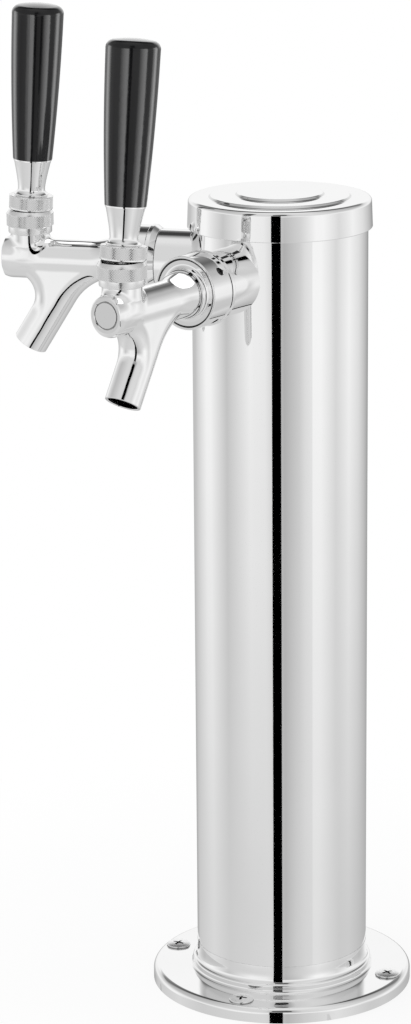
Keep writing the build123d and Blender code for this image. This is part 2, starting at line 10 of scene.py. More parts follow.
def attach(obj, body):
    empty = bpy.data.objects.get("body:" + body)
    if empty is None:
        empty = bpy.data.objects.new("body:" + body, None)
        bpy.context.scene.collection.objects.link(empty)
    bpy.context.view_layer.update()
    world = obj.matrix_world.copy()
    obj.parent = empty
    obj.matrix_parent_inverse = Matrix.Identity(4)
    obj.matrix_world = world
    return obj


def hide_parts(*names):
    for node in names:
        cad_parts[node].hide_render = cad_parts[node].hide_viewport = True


# Looks of the two-tap beer tower. Blender works in metres; sizes named below are millimetres,
# and TO_METRES turns them into metres. A tap's own frame has f forward of the lever's pivot,
# s sideways and u above the shank's axis.

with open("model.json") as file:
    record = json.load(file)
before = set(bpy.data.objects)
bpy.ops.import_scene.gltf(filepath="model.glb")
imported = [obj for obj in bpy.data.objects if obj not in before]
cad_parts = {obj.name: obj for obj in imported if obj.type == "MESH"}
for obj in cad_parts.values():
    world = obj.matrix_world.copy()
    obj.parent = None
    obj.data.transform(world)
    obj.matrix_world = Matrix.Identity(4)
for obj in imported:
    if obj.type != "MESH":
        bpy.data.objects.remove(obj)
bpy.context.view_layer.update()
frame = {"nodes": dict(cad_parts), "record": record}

TO_METRES = Matrix.Scale(0.001, 4)
TAP_TURN = {"left": -34.0, "right": 34.0}
CLOSED_LEAN = {"left": 3.3, "right": 5.9}
SHANK_Z = 327.25
PIVOT_R = 112.2            # lever's pivot from the column's axis
PIVOT_RISE = 14.0          # lever's pivot above the shank's axis
CREASE = 28.0              # a turned outline's corners sharper than this many degrees stay crisp


# ---- placing ----
def turned_to(side):
    """Turns a tap that faces -Y to its side of the tower."""
    return Matrix.Rotation(radians(TAP_TURN[side]), 4, "Z")


def tap_frame(side):
    """From a tap's (f, s, u) in millimetres to the tower's frame in metres."""
    axes = Matrix(((0, 1, 0, 0), (-1, 0, 0, -PIVOT_R), (0, 0, 1, SHANK_Z), (0, 0, 0, 1)))
    return TO_METRES @ turned_to(side) @ axes


def lever_frame(side):
    """From millimetres round a closed lever, with its pivot at the origin, to the tower's frame."""
    lean = Matrix.Rotation(-radians(CLOSED_LEAN[side]), 4, "X")
    pivot = Matrix.Translation((0, -PIVOT_R, SHANK_Z + PIVOT_RISE))
    return TO_METRES @ turned_to(side) @ pivot @ lean


def along_shank(side):
    """From a piece turned about Z, with its height as the distance from the column, to the tower's frame."""
    return tap_frame(side) @ Matrix(((0, 0, 1, -PIVOT_R), (1, 0, 0, 0), (0, 1, 0, 0), (0, 0, 0, 1)))


# ---- mesh helpers ----
def new_object(data):
    """Puts a mesh, lamp or camera into the scene under its own name."""
    thing = bpy.data.objects.new(data.name, data)
    bpy.context.scene.collection.objects.link(thing)
    return thing


def mesh_object(name, points, faces, place=TO_METRES, normals=None, sharp=30.0, painted_shade=None):
    """A smooth-shaded object, by one normal for each corner of each face or with crisp edges over an angle.

    The last argument gives how much painted shade each point gets; the metals show it as a darker tone, standing in
    for the shade in hollows.
    """
    mesh = bpy.data.meshes.new(name)
    mesh.from_pydata([tuple(p) for p in points], [], faces)
    if painted_shade:
        values = [painted_shade(*v.co) for v in mesh.vertices]
        mesh.attributes.new("painted_shade", "FLOAT", "POINT").data.foreach_set("value", values)
    mesh.update()
    mesh.shade_smooth()
    if normals:
        mesh.normals_split_custom_set([tuple(n) for n in normals])
    mesh.transform(place)
    if not normals:
        mesh.set_sharp_from_angle(angle=radians(sharp))
    return new_object(mesh)


def join_meshes(parts):
    """Stacks (points, faces, normals) lists into one."""
    points, faces, normals = [], [], []
    for more_points, more_faces, more_normals in parts:
        start = len(points)
        points += more_points
        faces += [[i + start for i in f] for f in more_faces]
        normals += more_normals
    return points, faces, normals


def merge_points(points, more_points, digits):
    """Adds the points that aren't there yet, and returns the number of each."""
    known = {tuple(round(c, digits) for c in p): i for i, p in enumerate(points)}
    numbers = []
    for point in more_points:
        key = tuple(round(c, digits) for c in point)
        if key not in known:
            known[key] = len(points)
            points.append(point)
        numbers.append(known[key])
    return numbers


def circle(radius, height, steps, x=0.0, y=0.0):
    turns = [2 * pi * k / steps for k in range(steps)]
    return [(x + radius * cos(t), y + radius * sin(t), height) for t in turns]


def rounded(corners, step=12.0):
    """Closed outline from (radius, height, rounding) corners."""
    outline = []
    for k, (radius, height, rounding) in enumerate(corners):
        corner = Vector((radius, height))
        to_last = (Vector(corners[k - 1][:2]) - corner).normalized()
        to_next = (Vector(corners[(k + 1) % len(corners)][:2]) - corner).normalized()
        half = to_last.angle(to_next) / 2
        if rounding < 1e-6 or half > radians(89):
            outline.append(corner)
            continue
        middle = corner + (to_last + to_next).normalized() * rounding / sin(half)
        start = corner + to_last * rounding / tan(half) - middle
        turn = start.angle_signed(corner + to_next * rounding / tan(half) - middle)
        count = max(2, ceil(abs(degrees(turn)) / step))
        for n in range(count + 1):
            a = -turn * n / count
            outline.append(middle + Vector((
                start.x * cos(a) - start.y * sin(a), start.x * sin(a) + start.y * cos(a))))
    return [tuple(p) for p in outline]


def outward(outline):
    """A closed outline in the order that faces its turned surface outward."""
    area = sum(a[0] * b[1] - b[0] * a[1] for a, b in zip(outline, outline[1:] + outline[:1]))
    return outline[::-1] if area > 0 else outline


def outline_normals(outline):
    """Outward direction at both ends of each stretch of an outward outline. Long stretches keep their own."""
    points = np.array(outline, float)
    runs = np.roll(points, -1, axis=0) - points
    lengths = np.maximum(np.linalg.norm(runs, axis=1), 1e-9)
    out = np.stack([-runs[:, 1], runs[:, 0]], axis=1) / lengths[:, None]
    starts, ends = out.copy(), out.copy()
    for k in range(len(points)):
        before, after = out[k - 1], out[k]
        if before @ after > cos(radians(CREASE)):
            shared = before * lengths[k - 1] ** 2 + after * lengths[k] ** 2
            ends[k - 1] = starts[k] = shared / np.linalg.norm(shared)
    return starts, ends


def turned_piece(name, outline, place, steps=160, skip=None, extra=None, painted_shade=None):
    """A turned piece shaded by its outline. skip(level, k) leaves faces out, and extra adds faces with normals."""
    outline = outward(outline)
    starts, ends = outline_normals(outline)
    points, rows, faces, normals = [], [], [], []
    turns = [2 * pi * k / steps for k in range(steps)]
    for radius, height in outline:
        if radius < 1e-6:
            rows.append([len(points)] * steps)
            points.append((0, 0, height))
        else:
            rows.append(range(len(points), len(points) + steps))
            points += circle(radius, height, steps)
    for level, (row, after) in enumerate(zip(rows, rows[1:] + rows[:1])):
        if row[0] == row[1] and after[0] == after[1]:
            continue
        for k in range(steps):
            if skip and skip(level, k):
                continue
            n = (k + 1) % steps
            ring = [(row[k], starts, k), (after[k], ends, k), (after[n], ends, n), (row[n], starts, n)]
            ring = [(point, out[level], j) for i, (point, out, j) in enumerate(ring) if point != ring[i - 1][0]]
            faces.append([point for point, _, _ in ring])
            normals += [(out[0] * cos(turns[j]), out[0] * sin(turns[j]), out[1]) for _, out, j in ring]
    if extra:
        more_points, more_faces, more_normals = extra
        index = merge_points(points, more_points, 3)
        faces += [[index[i] for i in f] for f in more_faces]
        normals += more_normals
    return mesh_object(name, points, faces, place, normals, painted_shade=painted_shade)


def smooth_curve(knots, parts=6):
    """Points on a curve through knots in a row."""
    knots = [np.array(k, float) for k in knots]
    ends = [2 * knots[0] - knots[1], *knots, 2 * knots[-1] - knots[-2]]
    points = []
    for a, b, c, d in zip(ends, ends[1:], ends[2:], ends[3:]):
        for t in np.arange(parts) / parts:
            bend = (2 * a - 5 * b + 4 * c - d) * t * t + (3 * b - a - 3 * c + d) * t ** 3
            points.append(0.5 * (2 * b + (c - a) * t + bend))
    return [tuple(map(float, p)) for p in [*points, knots[-1]]]


def finish_piece(thing, body, node, material="polished_steel"):
    """Gives a piece its material and body, in place of the CAD node it shows better."""
    thing.data.materials.append(materials[material])
    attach(thing, body)
    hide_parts(node)


# ---- materials ----
class Nodes:
    """Short way to write a node tree."""

    def __init__(self, tree):
        self.tree = tree
        tree.nodes.clear()

    def add(self, kind, inputs=None, **settings):
        node = self.tree.nodes.new(kind)
        for key, value in settings.items():
            setattr(node, key, value)
        for key, value in (inputs or {}).items():
            if hasattr(value, "is_output"):
                self.tree.links.new(value, node.inputs[key])
            else:
                node.inputs[key].default_value = value
        return node

    def math(self, operation, *values):
        return self.add("ShaderNodeMath", dict(enumerate(values)), operation=operation).outputs[0]

    def span(self, value, low, high, to_low, to_high):
        keys = {"Value": value, "From Min": low, "From Max": high, "To Min": to_low, "To Max": to_high}
        return self.add("ShaderNodeMapRange", keys).outputs["Result"]

    def noise(self, where, scale, detail=4.0):
        keys = {"Vector": where, "Scale": scale, "Detail": detail}
        return self.add("ShaderNodeTexNoise", keys).outputs["Fac"]

    def mixed(self, factor, a, b, kind="FLOAT"):
        keys = {"Factor": factor, "A": a, "B": b}
        return self.add("ShaderNodeMix", keys, data_type=kind).outputs["Result"]


def new_material(name):
    material = bpy.data.materials.new(name)
    material.use_nodes = True
    return material, Nodes(material.node_tree)


def finish_surface(n, height, strength, inputs):
    """Shader of a solid surface with a bump whose height is in millimetres."""
    bump = n.add("ShaderNodeBump", {"Height": height, "Distance": 0.001, "Strength": strength})
    shader = n.add("ShaderNodeBsdfPrincipled", {**inputs, "Normal": bump.outputs["Normal"]})
    n.add("ShaderNodeOutputMaterial", {"Surface": shader.outputs["BSDF"]})


def metal(name, colour, rough, rough_spread, wave=0.0, grain=0.0, grain_stretch=(1, 1, 1), swell=0.0):
    """Bare steel: drifting roughness, a faint polishing wave, optional grain or cast swell, and painted shade where
    the mesh's attribute marks it.
    """
    material, n = new_material(name)
    where = n.add("ShaderNodeTexCoord").outputs["Object"]
    wide = n.noise(where, 28.0)
    stretched = n.add("ShaderNodeMapping", {"Vector": where, "Scale": grain_stretch}).outputs["Vector"]
    fine = n.noise(stretched, 900.0, 2.0)
    drift = n.math("ADD", n.math("MULTIPLY", wide, 0.6), n.math("MULTIPLY", fine, 0.4))
    roughness = n.span(drift, 0.3, 0.7, rough - rough_spread, rough + rough_spread)
    tone = n.mixed(wide, (*[c * 0.955 for c in colour], 1), (*colour, 1), "RGBA")
    # painted shade: the mesh's attribute darkens the colour towards near-black, in place of shade in hollows
    depth = n.add("ShaderNodeAttribute", attribute_name="painted_shade").outputs["Fac"]
    tone = n.mixed(depth, tone, PAINTED_SHADE_COLOUR, "RGBA")
    height = n.math("ADD", n.math("MULTIPLY", wide, wave), n.math("MULTIPLY", fine, grain))
    height = n.math("ADD", height, n.math("MULTIPLY", n.noise(where, 170.0, 0.0), swell))
    finish_surface(n, height, 1.0, {"Base Color": tone, "Metallic": 1.0, "Roughness": roughness})
    return material


def moulded(name, colour, rough, rough_spread, speck=0.0, ior=1.5, scale=160.0):
    """Plastic, rubber or foam: slightly uneven gloss and a fine skin."""
    material, n = new_material(name)
    where = n.add("ShaderNodeTexCoord").outputs["Object"]
    wide = n.noise(where, scale / 4)
    fine = n.noise(where, scale * 8, 3.0)
    tone = n.mixed(wide, (*[c * 0.8 for c in colour], 1), (*colour, 1), "RGBA")
    roughness = n.span(wide, 0.3, 0.7, rough - rough_spread, rough + rough_spread)
    finish_surface(n, fine, speck, {"Base Color": tone, "Roughness": roughness, "IOR": ior})
    return material


# colour of the painted shade in the metals
PAINTED_SHADE_COLOUR = (0.03, 0.03, 0.03, 1)
materials = {
    "polished_steel": metal("polished_steel", (0.93, 0.93, 0.93), 0.035, 0.015, wave=0.00025),
    "cast_steel": metal("cast_steel", (0.94, 0.94, 0.94), 0.035, 0.015, swell=0.07),
    "screw_steel": metal("screw_steel", (0.95, 0.95, 0.95), 0.24, 0.03),
    "satin_steel": metal("satin_steel", (0.93, 0.93, 0.93), 0.20, 0.04, grain=0.001),
    "plain_steel": metal("plain_steel", (0.74, 0.74, 0.74), 0.30, 0.08, grain=0.003, grain_stretch=(1, 1, 6)),
    "handle_plastic": moulded("handle_plastic", (0.005, 0.005, 0.0055), 0.12, 0.02, ior=1.40),
    "insert_brass": metal("insert_brass", (0.80, 0.58, 0.26), 0.24, 0.06, grain=0.002),
    "seal_rubber": moulded("seal_rubber", (0.022, 0.022, 0.022), 0.62, 0.08, speck=0.05),
    "washer_plastic": moulded("washer_plastic", (0.78, 0.78, 0.75), 0.42, 0.06, speck=0.02),
    "foam": moulded("foam", (0.045, 0.045, 0.047), 0.92, 0.05, speck=0.6, scale=260.0),
}

for entry in frame["record"]["subparts"]:
    node = frame["nodes"][entry["node"]]
    for place in node.material_slots:
        place.material = materials[entry["material_slot"]]


# ---- faucet body, as one smooth casting ----
BODY_BACK = 61.8           # distances from the column's axis
FLANGE_FRONT = 64.0
BELL_END = 69.6
BARREL_START = 84.0
BODY_FLANGE_R = 12.3
BELL_R = 10.2
BARREL_R = 7.8
VALVE_LIP_R = 7.4
VALVE_LIP_H = 1.5
CHAMBER_R = 6.0
CHAMBER_LEN = 12.0
NOSE_F = 11.4
NOSE_CHAMFER = 0.5
PLUG_R = 5.85
PLUG_T = 5.2
NECK_R = 8.35
NECK_TOP = 10.4
NECK_FOOT = -1.1           # where the neck starts, inside the barrel
NECK_FLARE = 6.3           # height over which it widens
NECK_FOOT_R = BARREL_R - 1.5
STUB_R = 8.0
STUB_TOP = 12.7
NECK_BORE_R = 6.4
NECK_BORE_DEPTH = 4.0
SPOUT_R = 7.65
SPOUT_BORE_R = 6.4
SPOUT_BORE_LEN = 30.0
SPOUT_LEN = 34.0
SPOUT_TILT = radians(31.5)
SPOUT_TIP = np.array((0.7, -38.7))
SPOUT_UP = np.array((-sin(SPOUT_TILT), cos(SPOUT_TILT)))
THROAT_CENTRE = np.array((7.6, -17.0))
WEB_R = 25.0
WEB_TOP = -2.0             # the web ends in the barrel
WEB_TOP_TURN = radians(84)
WEB_BLEND = 1.6            # reach of the soft joins
NECK_BLEND = 3.2
CASTING_CELL = 0.62        # size of the casting's faces


def arc_points(centre, radius, start, end):
    turns = np.linspace(start, end, 40)
    return np.stack([centre[0] + radius * np.cos(turns), centre[1] + radius * np.sin(turns)], axis=1)


def web_outline():
    """Middle line of the web: under the nose, down the spout's axis and back up behind it."""
    across = np.array((SPOUT_UP[1], -SPOUT_UP[0]))
    throat_r = abs(np.dot(THROAT_CENTRE - SPOUT_TIP, across))
    throat_end = pi + SPOUT_TILT
    throat = arc_points(THROAT_CENTRE, throat_r, pi / 2, throat_end)
    web_r = WEB_R + SPOUT_R
    step = (-throat[-1][1] - web_r * (1 - sin(SPOUT_TILT))) / cos(SPOUT_TILT)
    low = throat[-1] + step * SPOUT_UP
    centre = (low[0] - web_r * cos(SPOUT_TILT), -web_r)
    back = arc_points(centre, web_r, SPOUT_TILT, WEB_TOP_TURN)
    return np.vstack([throat, back[back[:, 1] < WEB_TOP], [(back[-1][0], WEB_TOP), (throat[0][0], WEB_TOP)]])


OUTLINE = web_outline()


def distance_to_outline(f, u):
    """Signed distance in the tap's middle plane to the web's outline, negative inside."""
    nearest = np.full(f.shape, 1e9)
    inside = np.zeros(f.shape, bool)
    for a, b in zip(OUTLINE, np.roll(OUTLINE, -1, axis=0)):
        run, rise = b[0] - a[0], b[1] - a[1]
        length2 = run * run + rise * rise
        if length2 < 1e-12:
            continue
        t = np.clip(((f - a[0]) * run + (u - a[1]) * rise) / length2, 0, 1)
        nearest = np.minimum(nearest, (f - a[0] - t * run) ** 2 + (u - a[1] - t * rise) ** 2)
        if a[1] != b[1]:
            inside ^= ((a[1] > u) != (b[1] > u)) & (f < run * (u - a[1]) / rise + a[0])
    return np.sqrt(nearest) * np.where(inside, -1, 1)


def body_field(f, s, u, outline=None):
    """Signed distance to the casting, roughly. The outline's distance can be given where it is known."""
    if outline is None:
        outline = distance_to_outline(f, u)
    along = np.clip((f + PIVOT_R - BELL_END) / (BARREL_START - BELL_END), 0, 1)
    core_r = BELL_R - (BELL_R - BARREL_R) * along * along * (3 - 2 * along)
    core = np.hypot(s, u) - core_r
    web = np.hypot(np.maximum(outline, 0), s) - SPOUT_R
    up = (f - SPOUT_TIP[0]) * SPOUT_UP[0] + (u - SPOUT_TIP[1]) * SPOUT_UP[1]
    side = (f - SPOUT_TIP[0]) * SPOUT_UP[1] - (u - SPOUT_TIP[1]) * SPOUT_UP[0]
    over = np.maximum(up - SPOUT_LEN, 0)
    spout = np.sqrt(side ** 2 + s ** 2 + over ** 2) - SPOUT_R
    flare = np.clip((u - NECK_FOOT) / NECK_FLARE, 0, 1)
    neck = np.hypot(f, s) - (NECK_FOOT_R + (NECK_R - NECK_FOOT_R) * flare)
    neck = np.maximum(neck, NECK_FOOT - u)
    return blended(blended(core, np.minimum(web, spout), WEB_BLEND), neck, NECK_BLEND)


def blended(a, b, reach):
    """Smooth union of two distances."""
    h = np.clip(0.5 + 0.5 * (b - a) / reach, 0, 1)
    return b + (a - b) * h - reach * h * (1 - h)


def field_slope(points):
    """Gradient of the field, by small steps either way."""
    h = 0.02
    sides = [(body_field(*(points + step).T), body_field(*(points - step).T)) for step in np.eye(3) * h]
    return np.stack([(ahead - behind) / (2 * h) for ahead, behind in sides], axis=1)


def surface_net(low, high, cell):
    """Quads on the zero surface of the body's field, with their corners drawn onto it."""
    count = np.ceil((high - low) / cell).astype(int) + 1
    grid = [low[k] + cell * np.arange(count[k]) for k in range(3)]
    outline = distance_to_outline(*np.meshgrid(grid[0], grid[2], indexing="ij"))
    value = body_field(*np.meshgrid(*grid, indexing="ij"), outline[:, None, :])
    inside = value < 0
    cells = tuple(c - 1 for c in count)
    total = np.zeros((*cells, 3))
    hits = np.zeros(cells)
    corner = [slice(0, -1), slice(1, None)]
    for axis in range(3):
        others = [k for k in range(3) if k != axis]
        for p, q in ((0, 0), (0, 1), (1, 0), (1, 1)):
            first = [corner[p], corner[q]]
            first.insert(axis, corner[0])
            second = [*first[:axis], corner[1], *first[axis + 1:]]
            va, vb = value[tuple(first)], value[tuple(second)]
            cross = (va < 0) != (vb < 0)
            hits += cross
            offset = np.zeros((*cells, 3))
            offset[..., axis] = np.where(cross, va / np.where(cross, va - vb, 1), 0)
            offset[..., others] = p, q
            total += offset * cross[..., None]
    used = hits > 0
    number = np.full(cells, -1)
    number[used] = np.arange(used.sum())
    base = np.stack(np.nonzero(used), axis=1)
    points = low + cell * (base + total[used] / hits[used][:, None])
    faces = []
    for axis in range(3):
        others = [k for k in range(3) if k != axis]
        inner, start, end = [slice(1, -1)] * 3, [slice(None)] * 3, [slice(None)] * 3
        inner[axis], start[axis], end[axis] = slice(None), *corner
        within = inside[tuple(inner)]
        before = within[tuple(start)]
        change = before != within[tuple(end)]
        where = np.stack(np.nonzero(change), axis=1)
        where[:, others] += 1
        quad = []
        for shift in ((0, 0), (1, 0), (1, 1), (0, 1)):
            at = where.copy()
            at[:, others] -= shift
            quad.append(number[tuple(at.T)])
        quad = np.stack(quad, axis=1)
        flip = before[change] ^ (axis == 1)
        quad[~flip] = quad[~flip][:, ::-1]
        faces.append(quad)
    for _ in range(4):
        slope = field_slope(points)
        step = body_field(*points.T) / np.maximum((slope ** 2).sum(axis=1), 0.05)
        points = points - np.clip(step, -cell, cell)[:, None] * slope
    return points, np.vstack(faces)


def of_kind(things, kind):
    return [t for t in things if isinstance(t, kind)]


def cut_flat(bm, point, direction):
    """Cuts off what lies beyond a plane and returns the open edges on it."""
    everything = bm.verts[:] + bm.edges[:] + bm.faces[:]
    cut = bmesh.ops.bisect_plane(bm, geom=everything, plane_co=point, plane_no=direction, clear_outer=True, dist=1e-5)
    return of_kind(cut["geom_cut"], bmesh.types.BMEdge)


def close_end(bm, edges, centre, direction, rings, flat_tag):
    """Carries an open rim on through rings of (radius, depth behind the plane) and closes it."""
    centre, direction = Vector(centre), Vector(direction).normalized()
    for radius, depth in rings:
        made = bmesh.ops.extrude_edge_only(bm, edges=edges)["geom"]
        edges = of_kind(made, bmesh.types.BMEdge)
        for face in of_kind(made, bmesh.types.BMFace):
            face[flat_tag] = 1
        for v in of_kind(made, bmesh.types.BMVert):
            out = v.co - centre
            out -= direction * out.dot(direction)
            v.co = centre + out.normalized() * radius - direction * depth
    for face in bmesh.ops.contextual_create(bm, geom=[e for e in edges if e.is_boundary])["faces"]:
        face[flat_tag] = 1


def make_casting():
    """Mesh of a faucet body in its tap's frame, with the faces on the smooth skin marked."""
    low = np.array((FLANGE_FRONT - PIVOT_R - 1.5, -BELL_R - 1.2, -48.0))
    high = np.array((NOSE_F + 2.0, BELL_R + 1.2, NECK_TOP + 2.0))
    points, faces = surface_net(low, high, CASTING_CELL)
    bm = bmesh.new()
    tag = bm.faces.layers.int.new("flat_part")
    corners = [bm.verts.new(p) for p in points]
    for face in faces:
        bm.faces.new([corners[i] for i in face])
    bm.normal_update()
    flange = FLANGE_FRONT - BODY_BACK
    ends = (
        ((SPOUT_TIP[0], 0, SPOUT_TIP[1]), (-SPOUT_UP[0], 0, -SPOUT_UP[1]), [
            (SPOUT_R - 0.25, -0.15), (SPOUT_BORE_R + 0.25, -0.15), (SPOUT_BORE_R, 0.1), (SPOUT_BORE_R, SPOUT_BORE_LEN),
        ]),
        ((NOSE_F - NOSE_CHAMFER, 0, 0), (1, 0, 0), [
            (BARREL_R - 0.1, -0.3), (BARREL_R - NOSE_CHAMFER, -NOSE_CHAMFER), (PLUG_R + 0.25, -NOSE_CHAMFER),
            (PLUG_R, -NOSE_CHAMFER + 0.25), (PLUG_R, PLUG_T - NOSE_CHAMFER),
        ]),
        ((0, 0, NECK_TOP), (0, 0, 1), [
            (STUB_R, 0.0), (STUB_R, NECK_TOP - STUB_TOP), (NECK_BORE_R + 0.9, NECK_TOP - STUB_TOP),
            (NECK_BORE_R, NECK_BORE_DEPTH),
        ]),
        ((FLANGE_FRONT - PIVOT_R, 0, 0), (-1, 0, 0), [
            (BODY_FLANGE_R - 0.2, 0.0), (BODY_FLANGE_R, -0.2), (BODY_FLANGE_R, -flange + 0.2),
            (BODY_FLANGE_R - 0.2, -flange), (VALVE_LIP_R, -flange), (VALVE_LIP_R, -flange - VALVE_LIP_H),
            (CHAMBER_R, -flange - VALVE_LIP_H), (CHAMBER_R, CHAMBER_LEN),
        ]),
    )
    for centre, direction, rings in ends:
        close_end(bm, cut_flat(bm, centre, direction), centre, direction, rings, tag)
    bmesh.ops.recalc_face_normals(bm, faces=bm.faces[:])
    mesh = bpy.data.meshes.new("casting")
    bm.to_mesh(mesh)
    bm.free()
    return mesh


def read_all(items, key, width=1, kind=np.int32):
    """A value, or a row of several, for each item of a mesh."""
    values = np.zeros(len(items) * width, kind)
    items.foreach_get(key, values)
    return values.reshape(-1, width) if width > 1 else values


def shade_casting(mesh):
    """Smooth skin shaded by the field's own slope, and crisp edges on the machined ends."""
    mesh.shade_smooth()
    mesh.set_sharp_from_angle(angle=radians(25))
    normals = read_all(mesh.corner_normals, "vector", 3, np.float32)
    slope = field_slope(read_all(mesh.vertices, "co", 3, float))
    slope /= np.maximum(np.linalg.norm(slope, axis=1), 1e-9)[:, None]
    skin = read_all(mesh.attributes["flat_part"].data, "value") == 0
    skin = np.repeat(skin, read_all(mesh.polygons, "loop_total"))
    normals[skin] = slope[read_all(mesh.loops, "vertex_index")[skin]]
    mesh.normals_split_custom_set(normals.tolist())


casting = make_casting()
shade_casting(casting)
for side in TAP_TURN:
    mesh = casting.copy()
    mesh.name = side + "_cast_body"
    mesh.transform(tap_frame(side))
    finish_piece(new_object(mesh), "tower", side + "_faucet_body", "cast_steel")


# ---- knurled rings ----
BONNET_R = 10.35
BONNET_BAND = (14.1, 19.2)
COLLAR_RING_R = 9.6
COLLAR_BAND = (7.85, 13.0)
DISH_R = 11.85             # hollow underside of the collar, centred on the lever's pivot


def knurled_ring(below, above, band, band_r, depth, around, rows):
    """A ring with rows of small pyramids on a band round it.

    The corners below the band go up the outside, and those above it go on down the inside.
    """
    low, high = band
    steps = 2 * around
    first_row = len(below)
    knurl = [(band_r, low + (high - low) * row / (2 * rows), row) for row in range(2 * rows + 1)]
    points, faces = [], []
    for radius, height, *cut in [*below, *knurl, *above]:
        for k in range(steps):
            turn = pi * k / around
            r = radius - depth * ((k + cut[0]) % 2 if cut else 0)
            points.append((r * cos(turn), r * sin(turn), height))
    for level in range(len(points) // steps):
        start, after = level * steps, (level + 1) * steps % len(points)
        for k in range(steps):
            n = (k + 1) % steps
            a, b, c, d = start + k, start + n, after + n, after + k
            if first_row <= level < first_row + 2 * rows:
                low_first = (k + level - first_row) % 2
                faces += [(a, b, c), (a, c, d)] if low_first else [(a, b, d), (b, c, d)]
            else:
                faces.append((a, b, c, d))
    return points, faces


def make_bonnet():
    return knurled_ring(
        [(8.05, 10.55), (8.9, 10.55), (9.4, 10.9), (9.55, 11.3), (9.55, 13.7), (9.75, 14.0)],
        [(10.25, 19.3), (9.4, 20.75), (9.15, 20.93), (8.75, 20.95), (8.55, 20.85), (5.75, 17.05), (5.7, 17.0),
         (8.05, 17.0)],
        BONNET_BAND, BONNET_R, depth=0.22, around=64, rows=5)


def make_collar():
    dish = [(DISH_R * sin(t), DISH_R * cos(t)) for t in np.radians(np.linspace(23.8, 51, 12))]
    return knurled_ring(
        [(9.25, 7.25), (9.45, 7.4)], [(9.5, 13.05), (9.3, 13.25), (4.75, 13.25), *dish],
        COLLAR_BAND, COLLAR_RING_R, depth=0.20, around=60, rows=5)


def knurled_piece(name, ring, band_r, band, place, body, node):
    # painted shade in the valleys of the knurl
    def painted_shade(x, y, z):
        return 0.15 if band[0] < z < band[1] and hypot(x, y) < band_r - 0.1 else 0.0

    finish_piece(mesh_object(name, *ring, place, None, 28, painted_shade), body, node, "satin_steel")


bonnet = make_bonnet()
collar = make_collar()
for side in TAP_TURN:
    up = tap_frame(side) @ Matrix(((0, -1, 0, 0), (1, 0, 0, 0), (0, 0, 1, 0), (0, 0, 0, 1)))
    knurled_piece(side + "_knurled_bonnet", bonnet, BONNET_R, BONNET_BAND, up, "tower", side + "_bonnet")
    knurled_piece(side + "_knurled_collar", collar, COLLAR_RING_R, COLLAR_BAND, lever_frame(side),
                  side + "_lever", side + "_lever_collar")


# ---- plain turned pieces with soft edges ----
COLUMN_R = 38.1
CAP_TOPS = (357.9, 358.85, 359.8)      # levels of the cap, from the rim inwards
CAP_RING_R = (30.3, 18.8)
CAP_RING_RUN = 1.3         # width of the soft slope between two levels
CAP_RING_PARTS = 16
SLEEVE_R = 14.3
SLEEVE_FRONT = 52.93
SLEEVE_BORE_R = 11.15
SLEEVE_EDGE = 0.35
SLEEVE_STEPS = 192
NUT_R = 15.65
NUT_RIM_R = 16.1
NUT_BACK = 53.0
NUT_FRONT = 69.4
NUT_MIDDLE = (NUT_BACK + NUT_FRONT) / 2
NUT_STEPS = 192
NUT_HOLE_R = 1.85
NUT_HOLE_BEVEL = 0.2
NUT_HOLE_TURN = 37.5
NUT_HOLE_COUNT = 4
NUT_HOLE_CELLS = 10        # a hole's window on the nut's side, in steps each way
NUT_WINDOW = NUT_HOLE_CELLS * pi * NUT_R / NUT_STEPS      # half of its width


def make_cap():
    outline = [(38.3, 345.0, 0.2), (40.0, 345.0, 0.35), (39.5, CAP_TOPS[0], 2.0)]
    for middle, low, high in zip(CAP_RING_R, CAP_TOPS, CAP_TOPS[1:]):
        for n in range(CAP_RING_PARTS + 1):
            rise = (1 - cos(pi * n / CAP_RING_PARTS)) / 2
            outline.append((middle + CAP_RING_RUN * (0.5 - n / CAP_RING_PARTS), low + (high - low) * rise, 0))
    outline += [(0, CAP_TOPS[2], 0), (0, 356.5, 0), (38.3, 356.5, 0.6)]

    # painted shade on the slopes between the cap's levels
    def painted_shade(x, y, z):
        return 0.22 if any(low + 0.05 < z < high - 0.15 for low, high in zip(CAP_TOPS, CAP_TOPS[1:])) else 0.0

    return turned_piece("soft_edged_cap", rounded(outline, 6.0), TO_METRES, steps=256, painted_shade=painted_shade)


def make_ferrule(side):
    waist = smooth_curve([
        (7.3, 14.15), (6.72, 14.45), (6.2, 14.95), (5.9, 15.9), (5.95, 17.5), (6.35, 20.3), (6.9, 23.2), (7.52, 26.2),
        (8.1, 28.6),
    ])
    outline = [(4.75, 13.25), (6.9, 13.25), (7.3, 13.55), (7.47, 13.75), (7.5, 13.95), (7.46, 14.1)]
    outline += waist + [(8.3, 28.7), (8.35, 28.8), (8.35, 29.4), (4.75, 29.4)]
    return turned_piece(side + "_turned_ferrule", outline, lever_frame(side))


